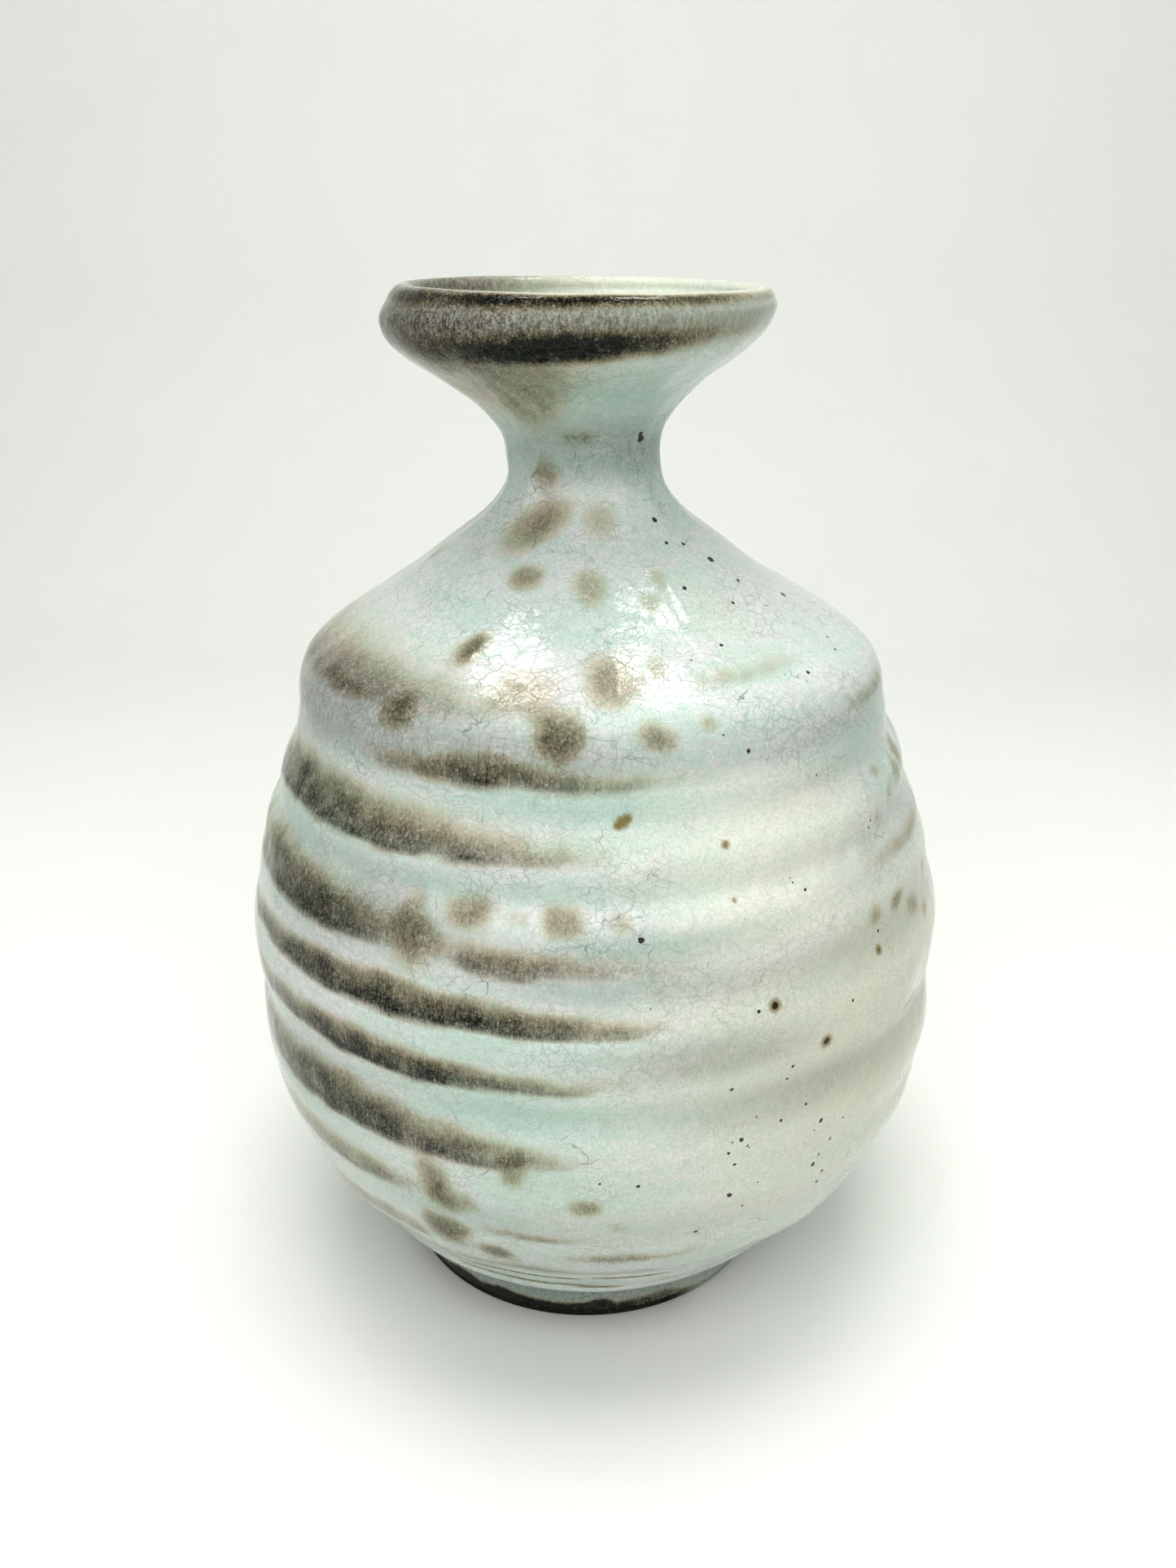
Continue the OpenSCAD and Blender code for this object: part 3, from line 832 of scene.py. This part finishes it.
def ground(look, cream, pool, straw):
    """Milky white and celadon that drift through each other, under pools, cream and straw; the pools and
    straw also carry painted shade low on the vase.
    """
    drift = look.noise(0.05, detail=4.0, rough=0.6)
    curdle = look.noise(0.6, detail=5.0, rough=0.7)
    level_streaks = look.warped(0.05, 1.5, stretch=(0.10, 0.10, 1))
    along_rings = look.noise(0.42, detail=4.0, rough=0.6, at=level_streaks)
    soft = look.weighted((drift, 0.3), (curdle, 0.4), (along_rings, 0.3))
    colour = look.mix(look.scaled(soft, 0.41, 0.58), CELADON, MILKY)
    colour = look.mix(look.product(pool, look.scaled(soft, 0.65, 0.35, 0.45, 1.0)), colour, POOLED)
    colour = look.mix(look.product(cream, look.scaled(soft, 0.40, 0.62, 0.70, 1.0)), colour, CREAMY)
    return look.mix(straw, colour, STRAW)


def grain(look):
    """Fine grain, mixed grain, and what breaks up the ash and the iron."""
    coarse = look.noise(1.6, detail=2.0, rough=0.6)
    fine = look.noise(3.2, detail=2.0, rough=0.6)
    streak = look.noise(0.9, detail=3.0, rough=0.6, at=look.warped(0.3, 0.6, stretch=(1, 1, 0.35)))
    fibre = look.noise(2.8, detail=2.0, rough=0.6, at=look.warped(0.3, 0.3, stretch=(1, 1, 0.3)))
    mixed = look.weighted((coarse, 0.4), (fine, 0.6))
    broken = look.math("SUBTRACT", look.weighted((mixed, 2.1), (streak, 0.9), (fibre, 1.6)), 1.3)
    return fine, mixed, look.math("ADD", look.product(broken, 0.75), 0.25)


def ash_and_iron(look, colour, mixed_grain, ashen, density, warm):
    """Dull grains, grey ash with painted shade on the foot wall, and iron laid over the ground. Iron is
    greyer where it isn't warm.
    """
    colour = look.mix(look.scaled(mixed_grain, 0.38, 0.60, 0.26, 0.0), colour, DULL)
    colour = look.mix(ashen, colour, ASH_TINT, blend="MULTIPLY")
    tint = look.ramp(look.product(density, 1 / IRON_FULL), IRON_TINTS)
    if warm is not None:
        inputs = {"Saturation": look.scaled(warm, 0.0, 1.0, 0.62, 1.06), "Color": tint}
        tint = look.make("ShaderNodeHueSaturation", inputs).outputs["Color"]
    return look.mix(1.0, colour, tint, blend="MULTIPLY")


def crackle(look, colour, density, smooth):
    """Dark and stained lines of the crackle, and pale hairlines along it that are painted highlights, all
    fainter on smooth glaze.

    Returns the colour, and the fine and the wide lines that dent the surface.
    """
    crazed = look.math("SUBTRACT", 1.0, look.product(smooth, 0.9))
    patchy = look.scaled(look.noise(0.10, detail=4.0, rough=0.6), 0.42, 0.60)
    shown = look.product(look.math("ADD", look.product(patchy, 0.7), 0.3), crazed)
    fine = look.net(1.4, 0.075, look.warped(0.6, 0.9, stretch=(0.8, 0.8, 1.2)))
    middling = look.net(3.2, 0.030, look.warped(0.3, 1.4, stretch=(0.7, 0.7, 1.2)))
    lines = look.math("MAXIMUM", look.product(fine, 0.28), look.product(middling, 0.34))
    colour = look.mix(look.product(lines, shown), colour, CRACK_DARK)
    stain = look.scaled(look.noise(0.16, detail=2.0), 0.61, 0.69, 0.0, 0.4)
    colour = look.mix(look.product(middling, stain, crazed), colour, CRACK_STAINED)
    # pale hairlines are painted highlights along the crackle
    glint_hairs = look.net(2.3, 0.026, look.warped(0.5, 1.0, stretch=(0.55, 0.55, 1.3)))
    some = look.scaled(look.noise(0.14, detail=3.0), 0.45, 0.62, 0.04, 0.24)
    clear_of_iron = look.scaled(density, 0.3, 1.1, 1.0, 0.15)
    colour = look.mix(look.product(glint_hairs, some, crazed, clear_of_iron), colour, CRACK_GLINT)
    wide = look.net(8.0, 0.010, look.warped(0.12, 2.0))
    return colour, look.product(fine, shown), look.math("MAXIMUM", wide, middling)


def bubbles(look, colour, density):
    """Pinprick bubbles in the brown glaze."""
    dots = look.scaled(look.dots(0.9), 0.10, 0.22, 1.0, 0.0)
    in_brown = look.scaled(density, 0.15, 0.6, 0.0, 0.34)
    not_in_black = look.scaled(density, 0.9, 1.4, 1.0, 0.1)
    return look.mix(look.product(dots, in_brown, not_in_black), colour, BUBBLE)


def iron_specks(look, colour, fine_grain):
    """The listed specks, and tiny ones scattered over the speckled areas."""
    size = look.scaled(look.noise(0.12, detail=1.0), 0.38, 0.62, 0.030, 0.092)
    scatter = look.dots(3.5, at=look.warped(0.7, 0.15))
    tiny = look.math("LESS_THAN", scatter, look.product(look.field("speckled"), size))
    roughen = look.math("SUBTRACT", fine_grain, 0.5)
    tan = speck_mask(look, TAN_SPECKS, look.product(roughen, 0.4), soft=0.6)
    colour = look.mix(look.product(tan, 0.85), colour, SPECK_TAN)
    dark = look.math("MAXIMUM", speck_mask(look, DARK_SPECKS, roughen), tiny)
    return look.mix(look.product(dark, 0.92), colour, SPECK_DARK)


def glaze_surface(look, fine_lines, wide_lines):
    """Slow waves, fine orange peel, and the cracks as shallow dents."""
    surface = look.bump(look.noise(0.10, detail=2.0, rough=0.4), 0.7)
    surface = look.bump(look.noise(0.55, detail=3.0, rough=0.55), 0.07, surface)
    surface = look.bump(fine_lines, -0.010, surface)
    return look.bump(wide_lines, -0.012, surface)


def glaze_look(name, painted=True):
    look = Look(name)
    value = {key: look.field(key) if painted else plain for key, plain in PLAIN_GLAZE.items()}
    warm = look.field("warm") if painted else None
    fine_grain, mixed_grain, broken = grain(look)
    density = look.product(value["iron"], broken)
    ashen = look.math("MULTIPLY", value["ash"], broken, clamp=True)
    smooth = look.math("MAXIMUM", value["cream"], value["straw"])
    colour = ground(look, value["cream"], value["pool"], value["straw"])
    colour = ash_and_iron(look, colour, mixed_grain, ashen, density, warm)
    colour, fine_lines, wide_lines = crackle(look, colour, density, smooth)
    colour = bubbles(look, colour, density)
    if painted:
        colour = iron_specks(look, colour, fine_grain)
    rough = look.scaled(look.noise(0.3, detail=3.0), 0.3, 0.7, 0.05, 0.12)
    return look.finish(colour, rough, glaze_surface(look, fine_lines, wide_lines), specular=0.28)


def clay_look(name, dark, light, run=None):
    """Bare clay with grit and turning lines. run is the colour where the glaze ran over it."""
    look = Look(name)
    body = look.noise(0.4, detail=6.0, rough=0.65)
    colour = look.mix(look.scaled(body, 0.3, 0.7), dark, light)
    grit = look.scaled(look.dots(0.9), 0.12, 0.25, 1.0, 0.0)
    colour = look.mix(look.product(grit, 0.5), colour, display(120, 108, 88))
    if run is not None:
        colour = look.mix(look.field("glazed"), colour, run)
    level_lines = look.warped(0.05, 0.3, stretch=(0.15, 0.15, 4))
    surface = look.bump(look.noise(0.9, detail=2.0, rough=0.5, at=level_lines), 0.15)
    surface = look.bump(look.noise(1.6, detail=4.0, rough=0.7), 0.18, surface)
    return look.finish(colour, look.scaled(body, 0.3, 0.7, 0.62, 0.85), surface, specular=0.2)


# ------------ the four pieces

LINING_SPACING = [(0, 1.6), (VASE_H, 1.6)]
WALL_SPACING = [(0, 2.4), (150, 2.0), (VASE_H, 0.8)]
# Round corner between the floor and the wall inside: (height over the floor, share of the crease's radius)
FLOOR_CORNER = [(0, 0.58), (1.5, 0.80), (4.5, 0.96)]
# From this height over the floor the inside follows the outside
CORNER_H = 9


def outside_piece():
    """The glaze from the foot over the lip and down the cup, with its painted fields."""
    path = spaced(outside_path(), FACE_SPACING)
    face = glaze_face(path)
    piece = ring_mesh("glaze_outside", np.concatenate([face, glaze_back(path)]), closed_loop=True)
    sharpen(piece, 0)
    sharpen(piece, len(face) - 1)
    paint_glaze(piece, path)
    piece.data.materials.append(glaze_look("glaze_crackled_celadon"))
    return piece


def inner_wall(depth, bore_r, floor_z):
    """From the top of the bore down to the edge of the floor."""
    outline = [(floor_z + up, share * CREASE_R) for up, share in FLOOR_CORNER]
    outline += [p for p in inset(OUTLINE, depth) if floor_z + CORNER_H < p[0] < BORE_LOW - 2]
    outline += [(BORE_LOW, bore_r), (BORE_HIGH, bore_r)]
    heights = np.arange(BORE_HIGH, floor_z, -0.2)
    return [(bore_r if z >= BORE_LOW else float(curve(outline, z)), z) for z in heights]


def inner_floor(floor_z):
    return [(r, floor_z) for r in np.arange(FLOOR_CORNER[0][1] * CREASE_R - 1, 0.5, -1.0)]


def lining_side(depth, bore_r, floor_z):
    return spaced(inner_wall(depth, bore_r, floor_z) + inner_floor(floor_z), LINING_SPACING)


def lining_piece():
    """The glaze inside the bore, the belly and over the floor."""
    face = lining_side(GLAZE_T + WALL_T + LINER_T, BORE_R, FOOT_H + LINER_T)
    back = lining_side(GLAZE_T + WALL_T, BORE_R + LINER_T, FOOT_H)[::-1]
    level = face[:, 1:]
    ripple = 0.12 * uneven.at(ANGLES[None, :], level)
    ripple *= rise(level, 14, 25) * (1 - rise(level, 120, 132))
    rows = [placed(back[:, :1], back[:, 1:]), placed(face[:, :1] + ripple, level)]
    piece = ring_mesh("glaze_inside", np.concatenate(rows),
                      start_pole=(0.0, 0.0, FOOT_H), end_pole=(0.0, 0.0, FOOT_H + LINER_T))
    piece.data.materials.append(glaze_look("glaze_lining", painted=False))
    return piece


def wall_piece():
    """The clay over the foot, from just under the outer glaze's skin to the lining."""
    outline = [(FOOT_H, CREASE_R - SKIN)] + inset(OUTLINE, SKIN) + [(LIP_Z, LIP_R - SKIN)]
    up = np.arange(FOOT_H + 0.6, LIP_Z - 0.5, 0.5)
    outside = [(CREASE_R - GLAZE_T, FOOT_H)] + list(zip(curve(outline, up), up))
    lip_r = (LIP_T - GLAZE_T - LINER_T) / 2
    lip = lip_arc(LIP_R - GLAZE_T - lip_r, lip_r, 12)
    down = np.arange(LIP_Z - 0.5, BORE_HIGH, -0.5)
    cup_points = cup_outline(GLAZE_T + WALL_T, BORE_R + LINER_T, LIP_R - LIP_T + LINER_T)
    cup = list(zip(curve(cup_points, down), down))
    inside = inner_wall(GLAZE_T + WALL_T, BORE_R + LINER_T, FOOT_H)
    path = spaced(outside + lip + cup + inside, WALL_SPACING)
    piece = ring_mesh("clay_wall", placed(path[:, :1], path[:, 1:]), closed_loop=True)
    piece.data.materials.append(clay_look("fired_clay", display(150, 132, 108), display(182, 164, 138)))
    return piece


def foot_path():
    """From the middle of the hollow, over the resting face and up the foot, back to the middle."""
    hollow = [(r, RECESS_H) for r in np.arange(0.8, RECESS_R - 0.5, 0.8)]
    hollow += [(RECESS_R - 0.3, RECESS_H - 0.1), (RECESS_R + 0.05, RECESS_H - 0.5)]
    hollow += [(RECESS_R + 0.1 + 0.1 * (RECESS_H - z), z) for z in np.arange(RECESS_H - 1, 0.4, -0.5)]
    face = [(r, 0.0) for r in np.arange(RECESS_R + 1.0, FOOT_R - 0.8, 0.6)]
    edge = [(FOOT_R - 0.5, 0.12), (FOOT_R - 0.15, 0.45), (FOOT_R, 0.9), (FOOT_R + 0.15, 1.4)]
    edge += [(FOOT_R + FOOT_TAPER * BARE_EDGE / FOOT_H, BARE_EDGE)]
    in_glaze = [(FOOT_R - GLAZE_T + FOOT_TAPER * z / FOOT_H, z) for z in np.arange(BARE_EDGE, FOOT_H, 1.5)]
    top_face = [(r, FOOT_H) for r in (CREASE_R - GLAZE_T, CREASE_R - 4, RECESS_R - 4, 12.0, 1.0)]
    return np.array(hollow + face + edge + in_glaze + top_face)


def foot_piece():
    """The foot ring and the floor's clay. Only its edge, face and hollow can be seen."""
    path = foot_path()
    radius, level = path[:, :1], path[:, 1:]
    angle = ANGLES[None, :]
    turned = 0.05 * np.sin(radius * 5.2 + np.radians(angle)) * (level == RECESS_H)
    piece = ring_mesh("foot_clay", placed(radius, level + turned),
                      start_pole=(-0.4, 0.0, RECESS_H), end_pole=(-0.3, 0.0, FOOT_H))
    # on the right the glaze ran down to the table
    on_right = rise(angle, 27, 40) * (1 - rise(angle, 95, 120))
    write_field(piece, "glazed", on_right * rise(radius, FOOT_R - 0.6, FOOT_R - 0.1) * (level < FOOT_H))
    bare = clay_look("bare_iron_clay", display(22, 20, 16), display(50, 43, 34), run=display(168, 174, 160))
    piece.data.materials.append(bare)
    return piece


WALL_NODES = ["lower_wall", "lower_belly", "middle_belly", "upper_belly", "shoulder_bend", "shoulder_slope",
              "neck_tube", "mouth_cup", "lip"]
for piece, slot, nodes in (
    (outside_piece(), "glaze", ["outer_glaze"]),
    (lining_piece(), "liner_glaze", ["inner_glaze"]),
    (wall_piece(), "clay", WALL_NODES),
    (foot_piece(), "bare_clay", ["foot_ring", "base_floor"]),
):
    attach(piece, "root")
    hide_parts(*nodes)

# ------------ camera, floor and light

CAMERA_DISTANCE = 215.8
CAMERA_HEIGHT = 174.8
CAMERA_PITCH = 22.5
LENS = 31.75
SENSOR = 36.0

# The sheet of paper, in metres
SWEEP_FRONT = -1.4
SWEEP_BEND_START = 0.33
SWEEP_BEND_R = 0.16
SWEEP_HALF_WIDTH = 0.8
SWEEP_TOP = 1.5

ROOM_COLOUR = (0.93, 0.95, 0.95, 1)
ROOM_STRENGTH = 0.475


def add_camera():
    camera = linked("camera", bpy.data.cameras.new("camera"))
    camera.data.sensor_fit = "VERTICAL"
    camera.data.sensor_height = SENSOR
    camera.data.lens = LENS
    camera.data.clip_start = 0.01
    camera.location = (0, -CAMERA_DISTANCE * MM, CAMERA_HEIGHT * MM)
    camera.rotation_euler = (math.radians(90 - CAMERA_PITCH), 0, 0)
    bpy.context.scene.camera = camera


def sweep_profile():
    """(distance behind the vase, height) along the paper."""
    profile = [(SWEEP_FRONT, 0.0), (0.0, 0.0), (SWEEP_BEND_START, 0.0)]
    for a in np.radians(np.arange(6, 85, 6)):
        profile.append((SWEEP_BEND_START + SWEEP_BEND_R * math.sin(a), SWEEP_BEND_R * (1 - math.cos(a))))
    profile.append((profile[-1][0] + 0.1, SWEEP_TOP))
    return profile


def add_sweep():
    """Pale paper that lies flat, bends up behind the vase and stands."""
    profile = sweep_profile()
    points = [(x, y, z) for y, z in profile for x in (-SWEEP_HALF_WIDTH, SWEEP_HALF_WIDTH)]
    faces = [(2 * i, 2 * i + 1, 2 * i + 3, 2 * i + 2) for i in range(len(profile) - 1)]
    mesh = bpy.data.meshes.new("paper_sweep")
    mesh.from_pydata(points, [], faces)
    mesh.polygons.foreach_set("use_smooth", [True] * len(faces))
    sweep = linked("paper_sweep", mesh)
    paper = Look("paper")
    colour = paper.mix(paper.noise(0.02, detail=4.0), display(236, 237, 232), display(240, 241, 237))
    mesh.materials.append(paper.finish(colour, 0.9))


def softbox(name, place, aim, width, depth, power, spread=180):
    light = bpy.data.lights.new(name, "AREA")
    light.spread = math.radians(spread)
    light.shape = "RECTANGLE"
    light.size = width
    light.size_y = depth
    light.energy = power
    lamp = linked(name, light)
    lamp.location = place
    across_x, across_y, up = np.array(place, float) - np.array(aim, float)
    lamp.rotation_euler = (math.atan2(math.hypot(across_x, across_y), up), 0, math.atan2(across_x, -across_y))
    return lamp


def add_lights():
    overhead = softbox("overhead", (0.0, 0.0, 0.75), (0.0, 0.0, 0.0), 0.5, 0.4, 1.95, spread=140)
    overhead.visible_glossy = False
    fill = softbox("front_fill", (0.0, -0.50, 0.52), (0.0, 0.0, 0.06), 0.7, 0.4, 2.7)
    fill.visible_glossy = False
    # two small lamps that only make the bright patches on the shoulder
    for side, width, power in ((-1, 0.06, 0.36), (1, 0.13, 0.84)):
        glint = softbox("glint", (side * 0.17, 0.05, 0.70), (0.0, 0.0, 0.11), width, 0.14, power)
        glint.visible_diffuse = False


def add_room():
    world = bpy.data.worlds.new("room")
    world.use_nodes = True
    bpy.context.scene.world = world
    background = world.node_tree.nodes["Background"]
    background.inputs["Color"].default_value = ROOM_COLOUR
    background.inputs["Strength"].default_value = ROOM_STRENGTH


add_camera()
add_sweep()
add_lights()
add_room()
bpy.context.scene.view_settings.view_transform = "Standard"
bpy.context.scene.view_settings.gamma = 0.8
